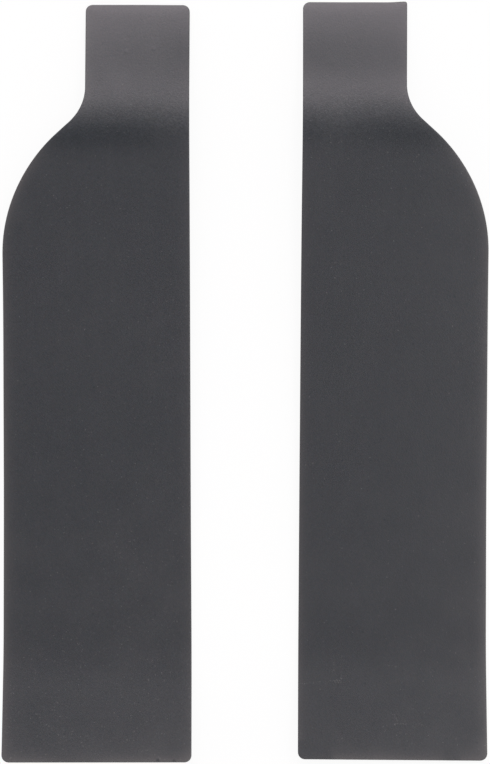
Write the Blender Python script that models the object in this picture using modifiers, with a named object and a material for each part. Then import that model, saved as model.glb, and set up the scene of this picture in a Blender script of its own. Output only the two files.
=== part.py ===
"""Handed pair of guard panels, each one sheet of grained plastic with an S-curved shoulder and two line bends.

Metres, +Z up. The pair lies face up on the floor. +Y points to the tabs and +X to the right-hand guard, and the
origin is the middle of the pair's footprint, on the floor.
"""

import math

import bmesh
import bpy
from mathutils import Matrix, Vector

MM = 0.001

# Flat blank, measured along and across the sheet
BLANK_LENGTH = 404.0 * MM
BODY_WIDTH = 99.1 * MM
TAB_WIDTH = 55.6 * MM
TAB_SIDE = 46.3 * MM
NECK_RADIUS = 25.9 * MM
FLANK_LENGTH = 9.8 * MM
SHOULDER_RADIUS = 86.0 * MM
CORNER_RADIUS = 3.7 * MM
TRIMMED_CORNER_RADIUS = 1.4 * MM
SHEET_THICKNESS = 2.5 * MM
EDGE_ROUNDING = 0.4 * MM

# Line bends: the tab turns back from the front face and the toe turns up towards it
TAB_BEND_FROM_TIP = 62.6 * MM
TAB_BEND_LENGTH = 21.0 * MM
TAB_BEND_ANGLE = math.radians(12.0)
TOE_BEND_FROM_END = 53.2 * MM
TOE_BEND_LENGTH = 21.0 * MM
TOE_BEND_ANGLE = math.radians(12.0)

# How the two guards lie beside each other
PAIR_GAP = 58.3 * MM
RIGHT_GUARD_AHEAD = 1.55 * MM
LEFT_YAW = math.radians(0.21)
RIGHT_YAW = math.radians(-0.46)

# Facets along each curve
NECK_STEPS = 8
SHOULDER_STEPS = 12
BEND_STEPS = 8
CORNER_STEPS = 5
EDGE_STEPS = 2
LEAST_ROW_GAP = 0.4 * MM
SHARP_ANGLE = math.radians(35.0)
ROCKING_STEPS = 6

SHEET_COLOUR = (0.056, 0.057, 0.063, 1.0)
SHEET_ROUGHNESS = 0.48

MID_LENGTH = BLANK_LENGTH / 2
LEFT, RIGHT = -1, 1


def clear_scene():
    for obj in list(bpy.data.objects):
        bpy.data.objects.remove(obj)


def flank_angle():
    """Slope of the flank at which neck, flank and shoulder together make up the step from tab to body."""
    step = BODY_WIDTH - TAB_WIDTH
    radii = NECK_RADIUS + SHOULDER_RADIUS
    return math.acos((radii - step) / math.hypot(radii, FLANK_LENGTH)) - math.atan2(FLANK_LENGTH, radii)


def s_curve():
    """Distances from the tab's tip at which the neck ends, the shoulder starts and the shoulder ends."""
    slope = flank_angle()
    neck_end = TAB_SIDE + NECK_RADIUS * math.sin(slope)
    shoulder_start = neck_end + FLANK_LENGTH * math.cos(slope)
    shoulder_end = shoulder_start + SHOULDER_RADIUS * math.sin(slope)
    return neck_end, shoulder_start, shoulder_end


def width_at(distance):
    """Width of the blank at a distance from the tab's tip."""
    neck_end, shoulder_start, shoulder_end = s_curve()
    slope = flank_angle()
    if distance <= TAB_SIDE:
        return TAB_WIDTH
    if distance <= neck_end:
        return TAB_WIDTH + NECK_RADIUS - math.sqrt(NECK_RADIUS**2 - (distance - TAB_SIDE) ** 2)
    if distance <= shoulder_start:
        neck_width = TAB_WIDTH + NECK_RADIUS * (1 - math.cos(slope))
        return neck_width + (distance - neck_end) * math.tan(slope)
    if distance < shoulder_end:
        return BODY_WIDTH - SHOULDER_RADIUS + math.sqrt(SHOULDER_RADIUS**2 - (shoulder_end - distance) ** 2)
    return BODY_WIDTH


def past_bend(run, bend_start, bend_length, bend_angle):
    """How far along and how far aside a run of sheet gets that is straight, then an arc, then straight again."""
    radius = bend_length / bend_angle
    straight = min(run, bend_start)
    turned = min(max(run - bend_start, 0.0), bend_length) / radius
    beyond = max(run - bend_start - bend_length, 0.0)
    along = straight + radius * math.sin(turned) + beyond * math.cos(turned)
    aside = radius * (1 - math.cos(turned)) + beyond * math.sin(turned)
    return along, aside


def profile_at(distance):
    """Where the front face passes, as (y, z), at a distance from the tab's tip. The flat body is at z = 0."""
    run = MID_LENGTH - distance
    if run >= 0:
        bend_start = MID_LENGTH - TAB_BEND_FROM_TIP - TAB_BEND_LENGTH / 2
        along, aside = past_bend(run, bend_start, TAB_BEND_LENGTH, TAB_BEND_ANGLE)
        return along, -aside
    bend_start = MID_LENGTH - TOE_BEND_FROM_END - TOE_BEND_LENGTH / 2
    along, aside = past_bend(-run, bend_start, TOE_BEND_LENGTH, TOE_BEND_ANGLE)
    return -along, aside


def bend_rows(middle, length):
    return [middle + length * (i / BEND_STEPS - 0.5) for i in range(BEND_STEPS + 1)]


def blank_rows():
    """Distances from the tab's tip at which the sheet has a row of points across it."""
    slope = flank_angle()
    shoulder_end = s_curve()[2]
    wanted = [0.0, BLANK_LENGTH]
    wanted += [TAB_SIDE + NECK_RADIUS * math.sin(slope * i / NECK_STEPS) for i in range(NECK_STEPS + 1)]
    for i in range(SHOULDER_STEPS + 1):
        wanted.append(shoulder_end - SHOULDER_RADIUS * math.sin(slope * i / SHOULDER_STEPS))
    wanted += bend_rows(TAB_BEND_FROM_TIP, TAB_BEND_LENGTH)
    wanted += bend_rows(BLANK_LENGTH - TOE_BEND_FROM_END, TOE_BEND_LENGTH)
    rows = []
    for distance in sorted(wanted):
        if not rows or distance - rows[-1] > LEAST_ROW_GAP:
            rows.append(distance)
    return rows


def round_corner(sheet, corner, radius):
    bmesh.ops.bevel(
        sheet, geom=[corner], offset=radius, segments=CORNER_STEPS, profile=0.5, affect="VERTICES"
    )


def front_face(hand, outer_tab_corner_radius):
    """Open sheet of one guard's front face, with its inner edge on the Y axis and its outer edge on the hand's side."""
    rows = blank_rows()
    last = len(rows) - 1
    sheet = bmesh.new()
    bmesh.ops.create_grid(sheet, x_segments=1, y_segments=last, size=0.5)
    corners = []
    for point in sheet.verts:
        row = round((0.5 - point.co.y) * last)
        outer = point.co.x * hand > 0
        if row in (0, last):
            trimmed = outer and row == 0
            corners.append((point, outer_tab_corner_radius if trimmed else CORNER_RADIUS))
        y, z = profile_at(rows[row])
        point.co = (hand * width_at(rows[row]) if outer else 0.0, y, z)
    for point, radius in corners:
        round_corner(sheet, point, radius)
    return sheet


def sheet_material(name):
    material = bpy.data.materials.new(name)
    material.use_nodes = True
    shader = material.node_tree.nodes["Principled BSDF"]
    shader.inputs["Base Color"].default_value = SHEET_COLOUR
    shader.inputs["Roughness"].default_value = SHEET_ROUGHNESS
    shader.inputs["Metallic"].default_value = 0.0
    return material


def guard_panel(name, hand, outer_tab_corner_radius, collection):
    """One guard: its front face thickened to the rear, with its edges rounded."""
    mesh = bpy.data.meshes.new(name)
    sheet = front_face(hand, outer_tab_corner_radius)
    sheet.to_mesh(mesh)
    sheet.free()
    mesh.materials.append(sheet_material(name + "_plastic"))
    mesh.shade_smooth()
    mesh.set_sharp_from_angle(angle=SHARP_ANGLE)
    panel = bpy.data.objects.new(name, mesh)
    collection.objects.link(panel)
    thickness = panel.modifiers.new("sheet thickness", "SOLIDIFY")
    thickness.thickness = SHEET_THICKNESS
    thickness.offset = -1.0
    thickness.use_even_offset = True
    edges = panel.modifiers.new("rounded edges", "BEVEL")
    edges.width = EDGE_ROUNDING
    edges.segments = EDGE_STEPS
    edges.limit_method = "ANGLE"
    edges.angle_limit = SHARP_ANGLE
    return panel


def solid_points(panel):
    """Points of a panel's finished solid, in its own frame."""
    graph = bpy.context.evaluated_depsgraph_get()
    return [point.co.copy() for point in panel.evaluated_get(graph).data.vertices]


def resting_tilt(points):
    """Turn about X that brings the tab's half and the toe's half of a panel to the floor together."""
    tilt = 0.0
    for _ in range(ROCKING_STEPS):
        turned = [Matrix.Rotation(tilt, 3, "X") @ point for point in points]
        tab_low = min((point for point in turned if point.y > 0), key=lambda point: point.z)
        toe_low = min((point for point in turned if point.y < 0), key=lambda point: point.z)
        tilt += math.atan2(toe_low.z - tab_low.z, tab_low.y - toe_low.y)
    return tilt


def lay_down(panel, x, y, yaw):
    """Lays a panel face up on the floor, with its inner edge's middle at x, y. Returns its points in place."""
    points = solid_points(panel)
    turn = Matrix.Rotation(yaw, 3, "Z") @ Matrix.Rotation(resting_tilt(points), 3, "X")
    panel.rotation_euler = turn.to_euler()
    panel.location = (x, y, -min((turn @ point).z for point in points))
    return [turn @ point + panel.location for point in points]


def footprint_middle(points):
    low = Vector((min(p.x for p in points), min(p.y for p in points), 0.0))
    high = Vector((max(p.x for p in points), max(p.y for p in points), 0.0))
    return (low + high) / 2


def main():
    clear_scene()
    collection = bpy.data.collections.new("guard_panel_pair")
    bpy.context.scene.collection.children.link(collection)
    pair = bpy.data.objects.new("guard_panel_pair_origin", None)
    collection.objects.link(pair)
    left = guard_panel("left_guard_panel", LEFT, CORNER_RADIUS, collection)
    right = guard_panel("right_guard_panel", RIGHT, TRIMMED_CORNER_RADIUS, collection)
    points = lay_down(left, -PAIR_GAP / 2, 0.0, LEFT_YAW)
    points += lay_down(right, PAIR_GAP / 2, RIGHT_GUARD_AHEAD, RIGHT_YAW)
    for panel in (left, right):
        panel.parent = pair
    pair.location = -footprint_middle(points)


main()
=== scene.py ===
"""Dressed pair of guard panels: each a formed sheet of grained plastic with softened edges, on a pale floor.

Metres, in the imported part's frame: +Z up from the floor, +Y towards the tabs and +X towards the right-hand
guard. Only the marks on the sheets are given in millimetres.
"""

import math
from dataclasses import dataclass

import bpy
import numpy as np
from mathutils import Matrix, Vector


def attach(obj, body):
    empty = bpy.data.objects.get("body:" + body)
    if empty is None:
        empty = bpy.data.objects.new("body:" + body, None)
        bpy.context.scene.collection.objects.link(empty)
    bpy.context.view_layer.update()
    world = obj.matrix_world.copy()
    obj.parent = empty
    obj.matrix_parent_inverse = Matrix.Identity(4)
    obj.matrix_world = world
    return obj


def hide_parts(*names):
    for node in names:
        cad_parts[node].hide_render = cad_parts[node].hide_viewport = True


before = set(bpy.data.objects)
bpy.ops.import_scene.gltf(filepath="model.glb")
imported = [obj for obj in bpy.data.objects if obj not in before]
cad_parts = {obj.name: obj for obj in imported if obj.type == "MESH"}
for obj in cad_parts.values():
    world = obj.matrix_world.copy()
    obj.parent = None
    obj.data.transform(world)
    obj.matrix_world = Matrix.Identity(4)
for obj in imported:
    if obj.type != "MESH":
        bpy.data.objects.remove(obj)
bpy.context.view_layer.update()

MM = 0.001

# Flat blank, as in the part's source
BLANK_LENGTH = 404.0 * MM
BODY_WIDTH = 99.1 * MM
TAB_WIDTH = 55.6 * MM
TAB_SIDE = 46.3 * MM
NECK_RADIUS = 25.9 * MM
FLANK_LENGTH = 9.8 * MM
SHOULDER_RADIUS = 86.0 * MM
CORNER_RADIUS = 3.7 * MM
TRIMMED_CORNER_RADIUS = 1.4 * MM
SHEET_THICKNESS = 2.5 * MM
TAB_BEND_FROM_TIP = 62.6 * MM
TOE_BEND_FROM_TIP = BLANK_LENGTH - 53.2 * MM
TAB_BEND_ANGLE = math.radians(12.0)
MID_LENGTH = BLANK_LENGTH / 2

# How the two guards lie, with a shift that brings the middle of their footprint to the origin
PAIR_GAP = 58.3 * MM
RIGHT_GUARD_AHEAD = 1.55 * MM
PAIR_SHIFT_X = -0.144 * MM
PAIR_SHIFT_Y = -0.304 * MM
RESTING_TILT = math.radians(2.1713)

# Bends, which start and end softly, with leans that come on top of them
TAB_BEND_SPREAD = (-13.5 * MM, 16.5 * MM)
TOE_BEND_SPREAD = (-23.0 * MM, 17.0 * MM)
TIP_CURL_LENGTH = 36.0 * MM
TOE_CURL_LENGTH = 22.0 * MM
TAB_HOLLOW_FROM_TIP = 28.0 * MM
TAB_HOLLOW_REACH = 13.0 * MM
TAB_TWIST_REACH = 18.0 * MM
BEND_CREST_FROM_TIP = 47.0 * MM
BEND_CREST_REACH = 9.0 * MM
BEND_RIDGE = math.radians(2.4)
BEND_RIDGE_FROM_TIP = 74.0 * MM
BEND_RIDGE_REACH = 7.5 * MM

# Where the cut departs from the plain outline
END_LENGTH = 46.0 * MM
CORNER_FLARE_SHARES = (0.8, 1.0)
TAB_SET_IN_SPREAD = (30.0 * MM, 160.0 * MM)
SHOULDER_BELLY_FROM_TIP = 125.0 * MM
SHOULDER_BELLY_REACH = 28.0 * MM
TOE_FLARE_SPREAD = (250.0 * MM, 370.0 * MM)

# Edges: a small round, and the last few millimetres of the face rolled off by the cutter
EDGE_ROUND = 0.3 * MM
EDGE_ROUND_STEPS = 4
ROLL_OFF_WIDTH = 7.0 * MM
ROLL_OFF_DEPTH = 0.14 * MM

# Wear with a painted sheen round the shoulder, a pale tint towards the toe end, dust, grain, and a band of
# painted shade at the bend, by distance from the tip
WEAR_REACH = 2.4 * MM
WEAR_STATIONS = (45.0 * MM, 58.0 * MM, 66.0 * MM, 78.0 * MM, 100.0 * MM, 250.0 * MM)
WEAR_SHARES = (0.5, 0.1, 0.0, 0.45, 0.6, 1.0)
# Painted sheen: the outer edge's wear raised round the shoulder, for the sheen of its curved rim
SHOULDER_SHEEN = 0.45
SHOULDER_SHEEN_FROM_TIP = 98.0 * MM
SHOULDER_SHEEN_REACH = 22.0 * MM
PALE_TINT_SPREAD = (230.0 * MM, 330.0 * MM)
SCUFF_FILM = 0.03
DUST_STATIONS = (48.0 * MM, 64.0 * MM, 120.0 * MM, 200.0 * MM, 285.0 * MM, 350.0 * MM)
SCUFF_DUST = 1.6
LEAST_DUST = 0.02
GRAIN_STATIONS = (90.0 * MM, 130.0 * MM, 170.0 * MM, 285.0 * MM, 350.0 * MM)
STRETCHED_REACH = 14.0 * MM
# Painted shade: a darker band across the sheet at the bend's ridge, where the face leans away from the light
BEND_SHADE_FROM_TIP = 72.0 * MM
BEND_SHADE_REACH = 9.5 * MM

# Mesh spacing, and the steps in which the leans are summed from a little before the tip
RING_INSETS = [0.9 * MM, 1.6 * MM, 2.6 * MM, 3.7 * MM, 5.3 * MM, 7.5 * MM]
ROW_PITCH = 3.2 * MM
BEND_ROW_PITCH = 1.2 * MM
BEND_ROWS_REACH = 25.0 * MM
MIDDLE_COLUMNS = 14
PROFILE_START = -4.0 * MM
PROFILE_STEPS = 4040

# Camera and picture
PICTURE_HEIGHT_AT_SHEET = 405.05 * MM
CAMERA_DISTANCE = 1.1
CAMERA_AIM = Vector((-0.0003, -0.0019, 0.00774))
SENSOR_LONG_SIDE = 36.0


@dataclass
class Guard:
    """What sets one guard apart from the other.

    Pairs belong to the inner and the outer edge, apart from the place and the shares of the width.
    """

    # Names, and how it lies
    name: str
    node: str
    body: str
    slot: str
    hand: int
    place: tuple
    yaw: float

    # Cut: lengths by which ends and edges depart from the plain outline
    outer_tip_radius: float
    corner_flare: float
    tip_reaches: tuple
    toe_reaches: tuple
    tip_flares: tuple
    tab_set_ins: tuple
    shoulder_belly: float
    toe_flares: tuple

    # Forming: shifts of the tab's bend, angles, and shares of the width between which something changes
    bend_shifts: tuple
    bend_shift_shares: tuple
    ridge_shares: tuple
    tab_hollow: float
    tab_twist: float
    bend_crest: float
    tip_curl: float
    toe_angle: float
    toe_curl: float

    # Plastic: grain and dust have one value for each of their stations
    tone: float
    speckle: float
    grain: tuple
    # The darkening at the bend is painted shade
    bend_shade_darkening: float
    # Edge wear, with painted sheen on the outer edge round the shoulder
    edge_wear_and_sheen: dict
    # A paler tint towards the toe end; the pale marks and painted light are added to it
    pale_tint: float
    dust: tuple

    # Round marks, by place and reach in millimetres and by strength: pale marks with patches of painted
    # light, dark smudges with patches of painted shade, and scuffs
    pale_marks_and_painted_light: tuple
    smears_and_painted_shade: tuple
    scuffs: tuple

    # Round hollows and rises, by place, reach and depth or height in millimetres
    hollows: tuple
    rises: tuple

    # Dusty strokes, by both ends and reach in millimetres and by strength
    strokes: tuple

    # Ovals rubbed clean, by middle and half sizes in millimetres and by softness and strength
    cleaned: tuple


LEFT = Guard(
    name="left_guard_sheet",
    node="left_guard_panel",
    body="left_guard",
    slot="left_sheet",
    hand=-1,
    place=(PAIR_SHIFT_X - PAIR_GAP / 2, PAIR_SHIFT_Y),
    yaw=math.radians(0.21),
    outer_tip_radius=CORNER_RADIUS,
    corner_flare=0.0,
    tip_reaches=(-0.01 * MM, 0.40 * MM),
    toe_reaches=(0.04 * MM, -0.25 * MM),
    tip_flares=(0.20 * MM, 0.18 * MM),
    tab_set_ins=(0.12 * MM, 0.08 * MM),
    shoulder_belly=0.33 * MM,
    toe_flares=(0.15 * MM, 0.48 * MM),
    bend_shifts=(1.9 * MM, 0.5 * MM),
    bend_shift_shares=(0.1, 0.5),
    ridge_shares=(-0.25, 0.55),
    tab_hollow=math.radians(0.75),
    tab_twist=math.radians(2.0),
    bend_crest=math.radians(0.35),
    tip_curl=math.radians(1.4),
    toe_angle=math.radians(11.7),
    toe_curl=math.radians(4.2),
    tone=0.50,
    speckle=0.64,
    grain=(0.68, 1.6, 1.95, 1.45, 0.88),
    bend_shade_darkening=0.68,
    edge_wear_and_sheen={"tip": 0.0, "toe": 1.19, "inner": 0.40, "outer": 1.08},
    pale_tint=0.04,
    dust=(0.05, 0.6, 0.45, 0.30, 1.0, 1.5),
    # Pale marks, with patches of painted light
    pale_marks_and_painted_light=(
        (-48, -192, 28, 0.09), (-38, -130, 30, 0.03), (-95, 25, 30, 0.03), (-50, 25, 30, 0.02),
        (-56, -86, 35, 0.03), (-118, -90, 16, 0.04), (-124, -198, 9, 0.16), (-31, -200, 6, 0.20),
        (-118, -147, 8, 0.06), (-46, -148, 7, 0.06), (-121, -187, 7, 0.06), (-59, -183, 5, 0.10),
    ),
    # Dark smudges, with patches of painted shade
    smears_and_painted_shade=(
        (-40, 56, 7, 0.12), (-112, -106, 8, 0.12), (-83, 168, 6, 0.3), (-78, 162, 5, 0.25),
        (-75, 154, 5, 0.2), (-31, 178, 8, 0.30), (-50, 95, 30, 0.08), (-95, -20, 25, 0.06),
        (-92, -70, 30, 0.04), (-56, -167, 7, 0.18),
    ),
    scuffs=(
        (-73, -88, 8, 1), (-51, -104, 7, 1), (-62, -96, 5, 1), (-103, -178, 10, 1), (-97, -186, 7, 1),
        (-78, -190, 6, 1),
    ),
    hollows=((-68, 167, 9, 0.067),),
    rises=(
        (-63.5, 174.5, 1.8, 0.033), (-49, 176, 1.8, 0.033), (-63, 182, 1.8, -0.018), (-49, 183, 1.8, -0.018),
    ),
    strokes=(
        (-50.5, -152, -48.5, -147.5, 0.5, 0.6), (-59, -186, -55.5, -183, 0.6, 0.6),
        (-106, -178.5, -102.5, -175, 0.6, 0.5), (-102.5, -175, -99.5, -172.5, 0.6, 0.4),
        (-104.5, -182.5, -98, -187.5, 0.8, 0.5), (-56, -196, -49.5, -195, 0.7, 0.6),
        (-46, -198.5, -45, -199.5, 0.7, 1.3),
    ),
    cleaned=(
        (-90, -204, 14, 6, 0.5, 0.35), (-46, -200.5, 1.0, 0.8, 0.4, 1.0), (-37.5, -201, 0.8, 1.1, 0.5, 0.6),
    ),
)
RIGHT = Guard(
    name="right_guard_sheet",
    node="right_guard_panel",
    body="right_guard",
    slot="right_sheet",
    hand=1,
    place=(PAIR_SHIFT_X + PAIR_GAP / 2, PAIR_SHIFT_Y + RIGHT_GUARD_AHEAD),
    yaw=math.radians(-0.46),
    outer_tip_radius=TRIMMED_CORNER_RADIUS,
    corner_flare=0.55 * MM,
    tip_reaches=(0.16 * MM, 0.33 * MM),
    toe_reaches=(-0.08 * MM, -0.08 * MM),
    tip_flares=(0.08 * MM, 0.50 * MM),
    tab_set_ins=(0.34 * MM, 0.0),
    shoulder_belly=0.17 * MM,
    toe_flares=(-0.08 * MM, 0.42 * MM),
    bend_shifts=(3.8 * MM, 1.6 * MM),
    bend_shift_shares=(0.35, 0.7),
    ridge_shares=(-0.35, 1.1),
    tab_hollow=math.radians(1.25),
    tab_twist=math.radians(1.0),
    bend_crest=math.radians(1.1),
    tip_curl=math.radians(1.9),
    toe_angle=math.radians(10.8),
    toe_curl=math.radians(2.8),
    tone=0.43,
    speckle=0.44,
    grain=(0.75, 0.74, 1.15, 0.82, 0.63),
    bend_shade_darkening=0.80,
    edge_wear_and_sheen={"tip": 0.15, "toe": 1.05, "inner": 0.70, "outer": 0.74},
    pale_tint=0.03,
    dust=(0.05, 1.1, 0.75, 0.13, 0.28, 0.40),
    # Pale marks, with patches of painted light
    pale_marks_and_painted_light=(
        (122, -30, 16, 0.03), (123, -75, 16, 0.05), (123, -120, 16, 0.05), (125, -150, 16, 0.05),
        (100, -192, 14, 0.03), (55, -191, 20, 0.05), (31, 100, 10, 0.05), (84, 186, 7, 0.04),
        (84, 158, 7, 0.04), (123, -197, 8, 0.13), (57, -201, 8, 0.17), (70, -201, 8, 0.14),
        (115, -146, 6, 0.10), (118, -167, 7, 0.07), (84, -176, 7, 0.05),
    ),
    # Dark smudges, with patches of painted shade
    smears_and_painted_shade=(
        (122, -184, 6, 0.12), (108, 80, 10, 0.12), (82, 105, 24, 0.22), (34, 134, 9, 0.40),
        (84, -166, 5, 0.20), (93, -160, 5, 0.14), (46, -178, 8, 0.12), (66, -155, 8, 0.10),
    ),
    scuffs=((48, -155, 6, 1), (40, -160, 5, 1), (84, -182, 9, 1), (95, -188, 5, 1), (121, -178, 4, 1)),
    hollows=(),
    rises=((46.5, 169, 4, 0.023),),
    strokes=(
        (50.5, -156.5, 50.5, -160.5, 0.6, 0.9), (47.5, -160.5, 50.5, -160.5, 0.7, 0.9),
        (29, -161.5, 48, -159.5, 0.8, 0.4), (46.5, -149, 47, -154.5, 0.8, 0.4),
        (74, -151.5, 82, -153, 0.8, 0.5), (117, -152, 121, -155, 0.8, 0.4),
        (79, -178.5, 79.5, -182, 0.8, 0.3), (78.5, -182, 94.5, -182.5, 0.9, 0.35),
    ),
    cleaned=((28, -201.5, 18.5, 11, 0.12, 0.6), (108, -201.5, 5, 7, 0.4, 0.5)),
)


def flank_angle():
    """Slope of the flank at which neck, flank and shoulder together make up the step from tab to body."""
    radii = NECK_RADIUS + SHOULDER_RADIUS
    step = BODY_WIDTH - TAB_WIDTH
    return math.acos((radii - step) / math.hypot(radii, FLANK_LENGTH)) - math.atan2(FLANK_LENGTH, radii)


def width_and_slope(distance):
    """Width of the blank at a distance from the tab's tip, and how fast it widens there."""
    angle = flank_angle()
    neck_end = TAB_SIDE + NECK_RADIUS * math.sin(angle)
    shoulder_start = neck_end + FLANK_LENGTH * math.cos(angle)
    shoulder_end = shoulder_start + SHOULDER_RADIUS * math.sin(angle)
    if distance <= TAB_SIDE:
        return TAB_WIDTH, 0.0
    if distance <= neck_end:
        rise = math.sqrt(NECK_RADIUS**2 - (distance - TAB_SIDE) ** 2)
        return TAB_WIDTH + NECK_RADIUS - rise, (distance - TAB_SIDE) / rise
    if distance <= shoulder_start:
        neck_width = TAB_WIDTH + NECK_RADIUS * (1 - math.cos(angle))
        return neck_width + (distance - neck_end) * math.tan(angle), math.tan(angle)
    if distance < shoulder_end:
        rise = math.sqrt(SHOULDER_RADIUS**2 - (shoulder_end - distance) ** 2)
        return BODY_WIDTH - SHOULDER_RADIUS + rise, (shoulder_end - distance) / rise
    return BODY_WIDTH, 0.0


def smooth(value, low, high):
    """Smooth step from 0 where a value is low to 1 where it is high."""
    share = np.clip((value - low) / (high - low), 0.0, 1.0)
    return share * share * (3 - 2 * share)


def bulge(distance, middle, reach):
    """Soft bump: 1 in the middle, falling away on both sides."""
    return np.exp(-(((distance - middle) / reach) ** 2))


def near_ends(distance):
    """How near a point is to the tip and to the toe's end, from 1 there to 0 an end's length away."""
    to_tip = np.clip(1 - distance / END_LENGTH, 0.0, None)
    to_toe = np.clip(1 - (BLANK_LENGTH - distance) / END_LENGTH, 0.0, None)
    return to_tip, to_toe


def tab_lean(distance):
    """Angle by which the tab's bend makes the front face lean towards +Y."""
    return TAB_BEND_ANGLE * (1 - smooth(distance - TAB_BEND_FROM_TIP, *TAB_BEND_SPREAD))


def other_leans(distance, guard):
    """Further leans towards +Y: of the whole width, of the bend's ridge in full, and of the whole twist."""
    toe = guard.toe_angle * smooth(distance - TOE_BEND_FROM_TIP, *TOE_BEND_SPREAD)
    tip_curl = guard.tip_curl * np.clip(1 - distance / TIP_CURL_LENGTH, 0.0, None) ** 2
    toe_curl = guard.toe_curl * np.clip(1 - (BLANK_LENGTH - distance) / TOE_CURL_LENGTH, 0.0, None) ** 2
    hollow = guard.tab_hollow * bulge(distance, TAB_HOLLOW_FROM_TIP, TAB_HOLLOW_REACH)
    crest = guard.bend_crest * bulge(distance, BEND_CREST_FROM_TIP, BEND_CREST_REACH)
    ridge = -BEND_RIDGE * bulge(distance, BEND_RIDGE_FROM_TIP, BEND_RIDGE_REACH)
    twist = guard.tab_twist * bulge(distance, TAB_HOLLOW_FROM_TIP, TAB_TWIST_REACH)
    return toe + tip_curl + toe_curl - hollow + crest, ridge, twist


def front_face(distance, outward, guard):
    """Where the front face passes, as y and z with the flat body at z = 0, and its lean towards +Y.

    Points are given by their distance from the tip and by their share of the width, counted from the
    inner edge.
    """
    along = np.linspace(PROFILE_START, BLANK_LENGTH, PROFILE_STEPS + 1)
    step = along[1] - along[0]
    tab = tab_lean(along[:-1] + step / 2)
    level, ridge, twist = other_leans(along[:-1] + step / 2, guard)

    def summed(slopes, stations):
        total = np.concatenate(([0.0], np.cumsum(slopes * step)))
        return np.interp(stations, along, total) - np.interp(MID_LENGTH, along, total)

    ridge_share = smooth(outward, *guard.ridge_shares)
    twist_share = outward - 0.5
    inner_shift, outer_shift = guard.bend_shifts
    shift_share = smooth(outward, *guard.bend_shift_shares)
    shifted = distance - inner_shift - (outer_shift - inner_shift) * shift_share
    y = summed(-np.cos(tab + level), distance)
    z = summed(np.sin(tab), shifted) + summed(np.cos(tab) * np.sin(level), distance)
    z += ridge_share * summed(np.cos(tab) * ridge, distance)
    z += twist_share * summed(np.cos(tab) * twist, distance)
    level, ridge, twist = other_leans(distance, guard)
    return y, z, tab_lean(shifted) + level + ridge_share * ridge + twist_share * twist


def edge_insets():
    """Distances in from the outline at which the sheet has a ring of points."""
    turns = [math.pi / 2 * i / EDGE_ROUND_STEPS for i in range(EDGE_ROUND_STEPS + 1)]
    return [EDGE_ROUND * (1 - math.cos(turn)) for turn in turns] + RING_INSETS


def rounded_corner(side, end, radius):
    """A square corner's point, given by its distances in from both edges, moved to the round one's rings."""
    if side >= radius or end >= radius:
        return side, end
    from_side, from_end = radius - side, radius - end
    ring = max(from_side, from_end)
    if from_side >= from_end:
        turn = math.pi / 4 * from_end / from_side
    else:
        turn = math.pi / 2 - math.pi / 4 * from_side / from_end
    return radius - ring * math.cos(turn), radius - ring * math.sin(turn)


def spaced(start, end, pitch):
    """Evenly spaced values after the start, up to and with the end, no further apart than the pitch."""
    count = max(1, math.ceil((end - start) / pitch))
    return [start + (end - start) * i / count for i in range(1, count + 1)]


def row_distances():
    """Distances from the tip of the rows of points between the two ends' edge rings."""
    last = edge_insets()[-1]
    tab_bend = (TAB_BEND_FROM_TIP - BEND_ROWS_REACH, TAB_BEND_FROM_TIP + BEND_ROWS_REACH)
    toe_bend = (TOE_BEND_FROM_TIP - BEND_ROWS_REACH, TOE_BEND_FROM_TIP + BEND_ROWS_REACH)
    rows = spaced(last, tab_bend[0], ROW_PITCH)
    rows += spaced(*tab_bend, BEND_ROW_PITCH)
    rows += spaced(tab_bend[1], toe_bend[0], ROW_PITCH)
    rows += spaced(*toe_bend, BEND_ROW_PITCH)
    rows += spaced(toe_bend[1], BLANK_LENGTH - last, ROW_PITCH)
    return rows[:-1]


def flat_grid(outer_tip_radius):
    """Grid of points on the flat blank.

    Each point has its distances from the tip, the inner edge, the outer edge and the outline, and its
    share of the width, from 0 at the inner edge to 1 at the outer.
    """
    insets = edge_insets()
    last = insets[-1]
    rows = [("tip", inset) for inset in insets]
    rows += [("body", distance) for distance in row_distances()]
    rows += [("toe", inset) for inset in reversed(insets)]
    columns = [("inner", inset) for inset in insets]
    columns += [("body", i / (MIDDLE_COLUMNS + 1)) for i in range(1, MIDDLE_COLUMNS + 1)]
    columns += [("outer", inset) for inset in reversed(insets)]
    grid = np.zeros((len(rows), len(columns), 5))
    for i, (row_kind, along) in enumerate(rows):
        for j, (column_kind, across) in enumerate(columns):
            end = last if row_kind == "body" else along
            side = last if column_kind == "body" else across
            trimmed = row_kind == "tip" and column_kind == "outer"
            new_side, new_end = rounded_corner(side, end, outer_tip_radius if trimmed else CORNER_RADIUS)
            distance = {"tip": new_end, "body": along, "toe": BLANK_LENGTH - new_end}[row_kind]
            width, slope = width_and_slope(distance)
            stretch = math.hypot(1.0, slope)
            if column_kind == "inner":
                x = new_side
            elif column_kind == "outer":
                x = width - new_side * stretch
            else:
                x = last + (width - last - last * stretch) * across
            grid[i, j] = distance, x, (width - x) / stretch, min(side, end), x / width
    return grid


def edge_drop(inset):
    """How far the face has fallen away near the outline: by the round alone, and by the roll-off."""
    inside = np.clip(EDGE_ROUND - inset, 0.0, None)
    round_drop = EDGE_ROUND - np.sqrt(EDGE_ROUND**2 - inside**2)
    roll = ROLL_OFF_DEPTH * np.clip(1 - inset / ROLL_OFF_WIDTH, 0.0, None) ** 2
    return round_drop, roll


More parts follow.
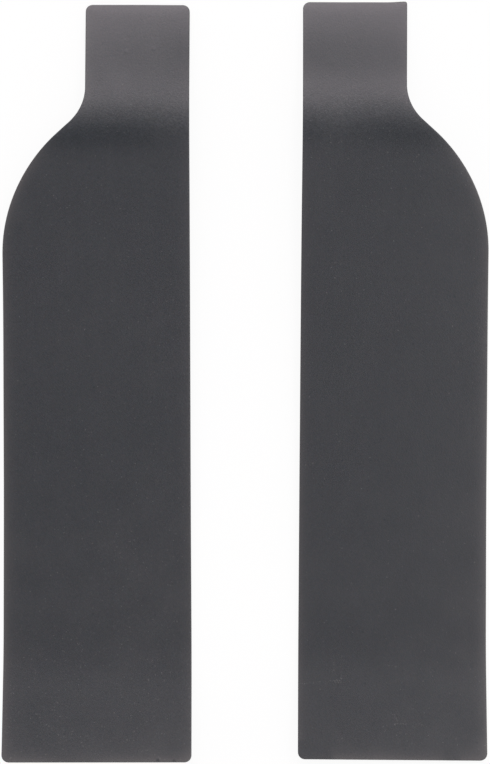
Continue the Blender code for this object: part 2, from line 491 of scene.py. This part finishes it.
def edge_flares(guard, distance):
    """How far the sheet's inner and outer edges were cut outside the plain outline."""
    to_tip = near_ends(distance)[0]
    in_tab = 1 - smooth(distance, *TAB_SET_IN_SPREAD)
    in_toe = smooth(distance, *TOE_FLARE_SPREAD)
    inner, outer = [
        tip * to_tip - set_in * in_tab + toe * in_toe
        for tip, set_in, toe in zip(guard.tip_flares, guard.tab_set_ins, guard.toe_flares)
    ]
    belly = guard.shoulder_belly * bulge(distance, SHOULDER_BELLY_FROM_TIP, SHOULDER_BELLY_REACH)
    return inner, outer + belly


def edge_wear_and_sheen(guard, distance, from_inner, from_outer):
    """How rubbed and dusty the face is near its edges, with a painted sheen along the outer edge round the
    shoulder, from 1 at a rubbed edge to 0 well inside.
    """
    along = np.interp(distance, WEAR_STATIONS, WEAR_SHARES)
    # Painted sheen on the outer edge round the shoulder
    outer_along = along + SHOULDER_SHEEN * bulge(distance, SHOULDER_SHEEN_FROM_TIP, SHOULDER_SHEEN_REACH)
    sides = {
        "tip": (distance, along),
        "toe": (BLANK_LENGTH - distance, along),
        "inner": (from_inner, along),
        "outer": (from_outer, outer_along),
    }
    clean = 1.0
    for side, (away, wear_and_sheen) in sides.items():
        clean = clean * np.clip(1 - guard.edge_wear_and_sheen[side] * wear_and_sheen * np.exp(-away / WEAR_REACH), 0.0, 1.0)
    return 1 - clean


def marks(points, spots):
    """How marked each point is by soft spots, given by place and reach in millimetres and by strength."""
    marked = np.zeros(len(points))
    for x, y, reach, strength in spots:
        away = np.hypot(points[:, 0] - x * MM, points[:, 1] - y * MM)
        marked = np.maximum(marked, strength * bulge(away, 0.0, reach * MM))
    return marked


def sheet_points(guard, flat):
    """Points of the front face and then of the rear face, as the guard lies on the floor."""
    distance, from_inner, _, inset, outward = flat
    to_tip, to_toe = near_ends(distance)
    flared = distance - guard.corner_flare * to_tip * smooth(outward, *CORNER_FLARE_SHARES)
    y, z, lean = front_face(flared, outward, guard)
    y += to_tip * np.interp(outward, (0.0, 1.0), guard.tip_reaches)
    y -= to_toe * np.interp(outward, (0.0, 1.0), guard.toe_reaches)
    inner_flare, outer_flare = edge_flares(guard, distance)
    sideways = from_inner + outer_flare * outward - inner_flare * (1 - outward)
    face = np.column_stack([guard.hand * sideways, y, z])
    normal = np.column_stack([np.zeros_like(lean), np.sin(lean), np.cos(lean)])
    round_drop, roll = edge_drop(inset)
    front = face - normal * (round_drop + roll)[:, None]
    rear = face - normal * (SHEET_THICKNESS - round_drop)[:, None]
    turn = Matrix.Rotation(guard.yaw, 3, "Z") @ Matrix.Rotation(RESTING_TILT, 3, "X")
    points = np.vstack([front, rear]) @ np.array(turn).T
    points += np.array([*guard.place, -points[:, 2].min()])
    front_points = points[: len(front)]
    front_points[:, 2] -= marks(front_points, guard.hollows) * MM
    return points


def closed_faces(rows, columns, hand):
    """Faces of a front grid, of a rear grid laid out alike, and of the cut edge between their outlines."""
    index = np.arange(rows * columns).reshape(rows, columns)
    corners = [index[:-1, :-1], index[1:, :-1], index[1:, 1:], index[:-1, 1:]]
    front = np.stack(corners, axis=-1).reshape(-1, 4)
    outline = np.concatenate([index[:-1, 0], index[-1, :-1], index[:0:-1, -1], index[0, :0:-1]])
    following = np.roll(outline, -1)
    to_rear = index.size
    wall = np.column_stack([outline, outline + to_rear, following + to_rear, following])
    if hand < 0:
        front, wall = front[:, ::-1], wall[:, ::-1]
    return np.vstack([front, front[:, ::-1] + to_rear, wall])


def sheet_looks(guard, flat, points):
    """What the plastic's material reads at each point of the front and rear faces, by name."""
    distance, from_inner, from_outer, inset, outward = np.tile(flat, 2)
    front_side = np.repeat([1.0, 0.0], len(points) // 2)
    ridge_share = smooth(outward, *guard.ridge_shares)
    scuffed = marks(points, guard.scuffs)
    # Paler tint towards the toe end, with scuffs, pale marks and patches of painted light
    pale_tint = guard.pale_tint * smooth(distance, *PALE_TINT_SPREAD) + SCUFF_FILM * scuffed + marks(points, guard.pale_marks_and_painted_light)
    dust = np.interp(distance, DUST_STATIONS, guard.dust) + SCUFF_DUST * scuffed
    return {
        "edge_wear_and_sheen": edge_wear_and_sheen(guard, distance, from_inner, from_outer),
        # Painted shade: the band at the bend's ridge
        "painted_bend_shade": ridge_share * bulge(distance, BEND_SHADE_FROM_TIP, BEND_SHADE_REACH),
        "grained": np.interp(distance, GRAIN_STATIONS, guard.grain),
        "stretched": bulge(distance, TAB_BEND_FROM_TIP, STRETCHED_REACH),
        # Dark smudges and painted shade, on the front only
        "smeared_and_shaded": front_side * marks(points, guard.smears_and_painted_shade),
        "pale_tint": front_side * pale_tint,
        "dusty": np.maximum(front_side * dust, LEAST_DUST),
        "front_side": front_side,
        "cut_edge": (inset <= 0.0).astype(float),
    }


def guard_mesh(guard):
    """One guard's closed mesh, which holds at each point what the material reads there."""
    grid = flat_grid(guard.outer_tip_radius)
    rows, columns, values = grid.shape
    flat = grid.reshape(rows * columns, values).T
    points = sheet_points(guard, flat)
    mesh = bpy.data.meshes.new(guard.name)
    mesh.from_pydata(points.tolist(), [], closed_faces(rows, columns, guard.hand).tolist())
    mesh.validate()
    mesh.shade_smooth()
    for key, look in sheet_looks(guard, flat, points).items():
        mesh.attributes.new(key, "FLOAT", "POINT").data.foreach_set("value", look.astype(np.float32))
    return mesh


class Nodes:
    """Short calls for a material's or the world's node tree."""

    def __init__(self, tree):
        self.tree = tree

    def add(self, kind, **settings):
        node = self.tree.nodes.new(kind)
        for key, value in settings.items():
            setattr(node, key, value)
        return node

    def link(self, value, socket):
        if isinstance(value, bpy.types.NodeSocket):
            self.tree.links.new(value, socket)
        else:
            socket.default_value = value

    def math(self, operation, first, second=0.0):
        node = self.add("ShaderNodeMath", operation=operation)
        self.link(first, node.inputs[0])
        self.link(second, node.inputs[1])
        return node.outputs[0]

    def weighted(self, start, *terms):
        """A start value plus each term's value times its weight."""
        total = start
        for value, weight in terms:
            total = self.math("ADD", total, self.math("MULTIPLY", value, weight))
        return total

    def map_range(self, interpolation, *values):
        """A value carried from the range between two others to the range between two more."""
        node = self.add("ShaderNodeMapRange", interpolation_type=interpolation)
        for socket, value in zip(node.inputs, values):
            self.link(value, socket)
        return node.outputs[0]

    def ramp(self, value, low, high, out_low, out_high):
        """Smooth step of a value from low to high."""
        return self.map_range("SMOOTHSTEP", value, low, high, out_low, out_high)

    def vector(self, operation, first, second):
        node = self.add("ShaderNodeVectorMath", operation=operation)
        self.link(first, node.inputs[0])
        self.link(second, node.inputs[1])
        return node.outputs["Value" if operation in ("DISTANCE", "DOT_PRODUCT") else "Vector"]

    def clamped(self, value):
        node = self.add("ShaderNodeClamp")
        self.link(value, node.inputs["Value"])
        return node.outputs[0]

    def tinted(self, colour, chance, amount):
        """A colour with each channel brightened or dimmed by chance, by up to half of its own amount."""
        factor = self.add("ShaderNodeVectorMath", operation="MULTIPLY_ADD")
        self.link(chance, factor.inputs[0])
        factor.inputs[1].default_value = amount
        factor.inputs[2].default_value = [1 - value / 2 for value in amount]
        return self.vector("MULTIPLY", colour, factor.outputs[0])

    def noise(self, place, scale, detail):
        node = self.add("ShaderNodeTexNoise")
        self.link(place, node.inputs["Vector"])
        self.link(scale, node.inputs["Scale"])
        self.link(detail, node.inputs["Detail"])
        return node.outputs["Fac"]

    def voronoi(self, place, scale, dimensions="3D"):
        """Distance to the middle of a random cell, and that cell's colour."""
        node = self.add("ShaderNodeTexVoronoi", voronoi_dimensions=dimensions)
        self.link(place, node.inputs["Vector"])
        self.link(scale, node.inputs["Scale"])
        return node.outputs["Distance"], node.outputs["Color"]

    def blue(self, colour):
        node = self.add("ShaderNodeSeparateColor")
        self.link(colour, node.inputs[0])
        return node.outputs["Blue"]

    def mix(self, share, first, second):
        """A blend of two colours: the mix node's inputs 6 and 7 and its output 2 are its colour sockets."""
        node = self.add("ShaderNodeMix", data_type="RGBA")
        self.link(share, node.inputs["Factor"])
        self.link(first, node.inputs[6])
        self.link(second, node.inputs[7])
        return node.outputs[2]

    def attribute(self, name):
        return self.add("ShaderNodeAttribute", attribute_name=name).outputs["Fac"]


# Colour of the plain sheet, its blotches, wipe marks and speckles
SHEET_DARK = (0.0264, 0.0288, 0.0340, 1.0)
SHEET_LIGHT = (0.0474, 0.0498, 0.0558, 1.0)
BLOTCHES_PER_METRE = 55.0
BLOTCH_DETAIL = 4.0
BLOTCH_TONE = 0.28
WIPES_PER_METRE = (210.0, 50.0, 210.0)
WIPE_DETAIL = 3.0
WIPE_TONE = 0.14
SPECKLES_PER_METRE = 2000.0
SPECKLE_TINT = (0.17, 0.04, 0.13)
STRETCHED_SPECKLES_PER_METRE = (1200.0, 2300.0, 1700.0)
STRETCHED_SPECKLE = 1.8

# Wear and painted sheen, pale tint and painted light, darkening that is partly painted shade, and dust on the
# sheet
SHEET_PALE = (0.108, 0.101, 0.102, 1.0)
WEAR_AND_SHEEN_COVER = 0.6
PALE_TINT_COVER = 2.0
DARKENED_SHARE = (0.48, 0.55, 0.60)
PITS_PER_METRE = 120.0
PIT_RADIUS = 0.65 * MM
PITTED_SHARE = 0.30
PIT_DARKENING = 0.40
CLEANED_DARKENING = 0.10
DUST = (0.30, 0.29, 0.28, 1.0)
DUST_CELLS_PER_METRE = 2000.0
DUST_RARITY = 200.0
DUST_COVER = 0.18
STROKE_DUST = 60.0
CUT_EDGE = (0.052, 0.052, 0.055, 1.0)

# Gloss and moulded grain
ROUGHNESS = 0.263
WIPE_ROUGHNESS = 0.03
BLOTCH_ROUGHNESS = 0.02
CUT_ROUGHNESS = 0.2
LEAST_ROUGHNESS = 0.285
PEBBLES_PER_METRE = 1150.0
GRAIN_HEIGHT = 0.024 * MM
STRETCHED_GRAIN = 0.4
REAR_GRAIN = 0.15


def specks(n, place, per_metre, radius, share):
    """Small round marks in a share of the cells, from the largest radius down to nothing."""
    distance, colour = n.voronoi(place, per_metre, "2D")
    size = n.weighted(radius * per_metre, (n.blue(colour), -radius * per_metre / share))
    return n.math("LESS_THAN", distance, size)


def strokes(n, flat, lines):
    """How marked a point is by soft lines, given by both ends and reach in millimetres and by strength."""
    marked = 0.0
    for x0, y0, x1, y1, reach, strength in lines:
        start = Vector((x0, y0, 0.0)) * MM
        run = Vector((x1, y1, 0.0)) * MM - start
        offset = n.vector("SUBTRACT", flat, start)
        share = n.clamped(n.vector("DOT_PRODUCT", offset, run / run.length_squared))
        away = n.vector("DISTANCE", offset, n.vector("MULTIPLY", run, share))
        marked = n.math("MAXIMUM", n.ramp(away, 0.0, reach * MM, strength, 0.0), marked)
    return marked


def ovals(n, flat, patches):
    """How far a point is inside ovals, by middle and half sizes in millimetres, softness and strength."""
    covered = 0.0
    for x, y, half_x, half_y, softness, strength in patches:
        shrunk = n.vector("MULTIPLY", flat, (1 / (half_x * MM), 1 / (half_y * MM), 0.0))
        away = n.vector("DISTANCE", shrunk, (x / half_x, y / half_y, 0.0))
        covered = n.math("MAXIMUM", n.ramp(away, 1 - softness, 1 + softness, strength, 0.0), covered)
    return covered


def rises(n, flat, spots):
    """Height of low round rises, or hollows below 0, given by place, reach and height in millimetres."""
    height = 0.0
    for x, y, reach, rise in spots:
        away = n.vector("DISTANCE", flat, (x * MM, y * MM, 0.0))
        height = n.math("ADD", n.ramp(away, 0.0, reach * MM, rise * MM, 0.0), height)
    return height


def plain_colour(n, guard, place, blotch, wiped):
    """Colour of the unworn sheet: blotched, wiped, and speckled cell by cell, with long cells in the bend."""
    cell = n.voronoi(place, SPECKLES_PER_METRE)[1]
    speckle = n.math("SUBTRACT", cell, 0.5)
    long_cell = n.voronoi(n.vector("MULTIPLY", place, STRETCHED_SPECKLES_PER_METRE), 1.0)[1]
    long_speckle = n.math("MULTIPLY", n.math("SUBTRACT", long_cell, 0.5), n.attribute("stretched"))
    tone = n.weighted(
        guard.tone - (BLOTCH_TONE + WIPE_TONE) / 2,
        (blotch, BLOTCH_TONE),
        (wiped, WIPE_TONE),
        (speckle, guard.speckle),
        (long_speckle, STRETCHED_SPECKLE),
    )
    return n.tinted(n.mix(tone, SHEET_DARK, SHEET_LIGHT), cell, SPECKLE_TINT)


def worn_and_shaded_colour(n, guard, place, flat, blotch, colour):
    """The colour after edge wear with its painted sheen, the pale tint with pale marks and painted light,
    painted shade at the bend, dark smudges with painted shade, pits, rubbing and dust, and that of the cut
    edge.
    """
    front = n.attribute("front_side")
    cleaned = n.math("MULTIPLY", front, ovals(n, flat, guard.cleaned))
    wear_and_sheen = n.math("MULTIPLY", n.attribute("edge_wear_and_sheen"), n.weighted(1.0, (cleaned, -1.0)))
    pale_tint = n.math("MULTIPLY", n.attribute("pale_tint"), blotch)
    # Pale mix: edge wear with its painted sheen, and the pale tint with its painted light
    colour = n.mix(n.weighted(0.0, (wear_and_sheen, WEAR_AND_SHEEN_COVER), (pale_tint, PALE_TINT_COVER)), colour, SHEET_PALE)
    darkened = n.weighted(
        # Dark smudges and painted shade
        n.attribute("smeared_and_shaded"),
        # Painted shade at the bend's ridge
        (n.attribute("painted_bend_shade"), guard.bend_shade_darkening),
        (specks(n, place, PITS_PER_METRE, PIT_RADIUS, PITTED_SHARE), PIT_DARKENING),
        (cleaned, CLEANED_DARKENING),
    )
    colour = n.mix(darkened, colour, n.vector("MULTIPLY", colour, DARKENED_SHARE))
    stroked = n.math("MULTIPLY", front, strokes(n, flat, guard.strokes))
    dusty = n.weighted(n.attribute("dusty"), (stroked, STROKE_DUST))
    chance = n.blue(n.voronoi(place, DUST_CELLS_PER_METRE, "2D")[1])
    dust = n.math("POWER", chance, n.math("DIVIDE", DUST_RARITY, dusty))
    colour = n.mix(n.math("MULTIPLY", dust, DUST_COVER), colour, DUST)
    return n.mix(n.attribute("cut_edge"), colour, CUT_EDGE)


def sheet_roughness(n, blotch, wiped):
    """Roughness that varies a little with blotches and wipe marks, and is greater on the cut edge."""
    roughness = n.weighted(
        ROUGHNESS,
        (wiped, WIPE_ROUGHNESS),
        (blotch, BLOTCH_ROUGHNESS),
        (n.attribute("cut_edge"), CUT_ROUGHNESS),
    )
    return n.math("MAXIMUM", roughness, LEAST_ROUGHNESS)


def sheet_relief(n, guard, place, flat):
    """Normal of the moulded grain, deeper in the bend and faint on the rear, and of the front's low rises."""
    front = n.attribute("front_side")
    pebble = n.voronoi(place, PEBBLES_PER_METRE)[0]
    grained = n.weighted(n.attribute("grained"), (n.attribute("stretched"), STRETCHED_GRAIN))
    depth = n.weighted(REAR_GRAIN, (n.math("MULTIPLY", grained, front), 1 - REAR_GRAIN))
    grain = n.math("MULTIPLY", pebble, depth)
    risen = n.math("MULTIPLY", front, rises(n, flat, guard.rises))
    bump = n.add("ShaderNodeBump")
    bump.inputs["Distance"].default_value = GRAIN_HEIGHT
    n.link(n.weighted(0.0, (grain, -1.0), (risen, 1 / GRAIN_HEIGHT)), bump.inputs["Height"])
    return bump.outputs["Normal"]


def sheet_material(guard):
    """Grained plastic with one guard's marks."""
    material = bpy.data.materials.new(guard.name + "_plastic")
    material.use_nodes = True
    n = Nodes(material.node_tree)
    shader = material.node_tree.nodes["Principled BSDF"]
    place = n.add("ShaderNodeTexCoord").outputs["Object"]
    flat = n.vector("MULTIPLY", place, (1.0, 1.0, 0.0))
    blotch = n.noise(place, BLOTCHES_PER_METRE, BLOTCH_DETAIL)
    wiped = n.noise(n.vector("MULTIPLY", place, WIPES_PER_METRE), 1.0, WIPE_DETAIL)
    colour = plain_colour(n, guard, place, blotch, wiped)
    n.link(worn_and_shaded_colour(n, guard, place, flat, blotch, colour), shader.inputs["Base Color"])
    n.link(sheet_roughness(n, blotch, wiped), shader.inputs["Roughness"])
    n.link(sheet_relief(n, guard, place, flat), shader.inputs["Normal"])
    return material


def add_guard(guard):
    mesh = guard_mesh(guard)
    mesh.materials.append(sheet_material(guard))
    piece = bpy.data.objects.new(guard.name, mesh)
    bpy.context.scene.collection.objects.link(piece)
    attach(piece, guard.body)
    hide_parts(guard.node)


# Floor, a little below the guards so that no two faces lie in one plane
FLOOR_SIZE = 12.0
FLOOR_BELOW = 0.2 * MM
FLOOR_COLOUR = (0.94, 0.94, 0.94, 1.0)
FLOOR_GLOW_SHARE = 0.91


def floor_material():
    """Paper that is white to the eye and in reflections, with enough plain diffuse left for a soft shadow."""
    material = bpy.data.materials.new("floor_paper")
    material.use_nodes = True
    material.node_tree.nodes.clear()
    n = Nodes(material.node_tree)
    path = n.add("ShaderNodeLightPath").outputs
    seen = n.math("MAXIMUM", path["Is Camera Ray"], path["Is Glossy Ray"])
    seen = n.math("MAXIMUM", seen, path["Is Transmission Ray"])
    paper = n.add("ShaderNodeBsdfDiffuse")
    paper.inputs["Color"].default_value = FLOOR_COLOUR
    glow = n.add("ShaderNodeEmission")
    glow.inputs["Strength"].default_value = 1.0
    both = n.add("ShaderNodeMixShader")
    n.link(n.math("MULTIPLY", seen, FLOOR_GLOW_SHARE), both.inputs["Fac"])
    n.link(paper.outputs[0], both.inputs[1])
    n.link(glow.outputs[0], both.inputs[2])
    n.link(both.outputs[0], n.add("ShaderNodeOutputMaterial").inputs["Surface"])
    return material


def floor():
    half = FLOOR_SIZE / 2
    corners = [(-half, -half, 0), (half, -half, 0), (half, half, 0), (-half, half, 0)]
    mesh = bpy.data.meshes.new("floor")
    mesh.from_pydata(corners, [], [(0, 1, 2, 3)])
    mesh.materials.append(floor_material())
    plane = bpy.data.objects.new("floor", mesh)
    plane.location.z = -FLOOR_BELOW
    bpy.context.scene.collection.objects.link(plane)


# Light tent, and two softboxes in it
KEY_ANGLE = math.radians(46.0)
KEY_DISTANCE = 4.0
KEY_SIZE = (3.7, 1.4)
KEY_POWER = 57.0
KEY_COLOUR = (1.085, 0.915, 0.985)
FILL_ANGLE = math.radians(22.0)
FILL_DISTANCE = 3.0
FILL_SIZE = (2.8, 0.80)
FILL_POWER = 11.2
FILL_COLOUR = (1.03, 0.98, 0.98)
DARK_SIDEWAYS = math.radians(-10.0)
DARK_AHEAD = math.radians(2.0)
DARK_REACH = math.radians(82.0)
TENT_LEVELS = (0.16, 0.98)
GLOW_SPREAD = (math.radians(8.0), math.radians(41.0))

TOWARDS_KEY = Vector((0.0, math.sin(KEY_ANGLE), math.cos(KEY_ANGLE)))
TOWARDS_FILL = Vector((math.sin(FILL_ANGLE), 0.0, math.cos(FILL_ANGLE)))
TOWARDS_DARK = Vector((math.tan(DARK_SIDEWAYS), math.tan(DARK_AHEAD), 1.0))


def angle_from(n, direction, axis):
    """Angle between the looked-along direction and an axis."""
    return n.math("ARCCOSINE", n.vector("DOT_PRODUCT", direction, axis.normalized()))


def surroundings():
    """Tent of light: dimmest above the left-hand guard, paler to the horizon, with a glow round the key."""
    world = bpy.data.worlds.new("tent")
    bpy.context.scene.world = world
    world.use_nodes = True
    n = Nodes(world.node_tree)
    direction = n.add("ShaderNodeTexCoord").outputs["Generated"]
    tent = n.map_range("LINEAR", angle_from(n, direction, TOWARDS_DARK), 0.0, DARK_REACH, *TENT_LEVELS)
    glow = n.ramp(angle_from(n, direction, TOWARDS_KEY), *GLOW_SPREAD, 1.0, 0.0)
    background = world.node_tree.nodes["Background"]
    n.link(n.math("ADD", tent, glow), background.inputs["Strength"])
    background.inputs["Color"].default_value = (1.0, 1.0, 1.0, 1.0)


def softbox(name, towards, distance, size, power, colour):
    """Area lamp in a direction from the sheets' middle, turned to face them."""
    lamp = bpy.data.lights.new(name, "AREA")
    lamp.shape = "RECTANGLE"
    lamp.size, lamp.size_y = size
    lamp.energy = power
    lamp.color = colour
    box = bpy.data.objects.new(name, lamp)
    away = towards.normalized()
    box.location = CAMERA_AIM + away * distance
    box.rotation_euler = away.to_track_quat("Z", "Y").to_euler()
    box.visible_camera = False
    bpy.context.scene.collection.objects.link(box)


def lights():
    softbox("key_softbox", TOWARDS_KEY, KEY_DISTANCE, KEY_SIZE, KEY_POWER, KEY_COLOUR)
    softbox("fill_softbox", TOWARDS_FILL, FILL_DISTANCE, FILL_SIZE, FILL_POWER, FILL_COLOUR)


def camera():
    """Camera square to the flat bodies of the sheets."""
    data = bpy.data.cameras.new("camera")
    data.sensor_width = SENSOR_LONG_SIDE
    data.lens = SENSOR_LONG_SIDE * CAMERA_DISTANCE / PICTURE_HEIGHT_AT_SHEET
    eye = bpy.data.objects.new("camera", data)
    upright = Vector((0.0, -math.sin(RESTING_TILT), math.cos(RESTING_TILT)))
    eye.location = CAMERA_AIM + upright * CAMERA_DISTANCE
    eye.rotation_euler = (RESTING_TILT, 0.0, 0.0)
    bpy.context.scene.collection.objects.link(eye)
    bpy.context.scene.camera = eye


bpy.context.scene.view_settings.view_transform = "Standard"
camera()
add_guard(LEFT)
add_guard(RIGHT)
floor()
surroundings()
lights()

bpy.context.view_layer.update()
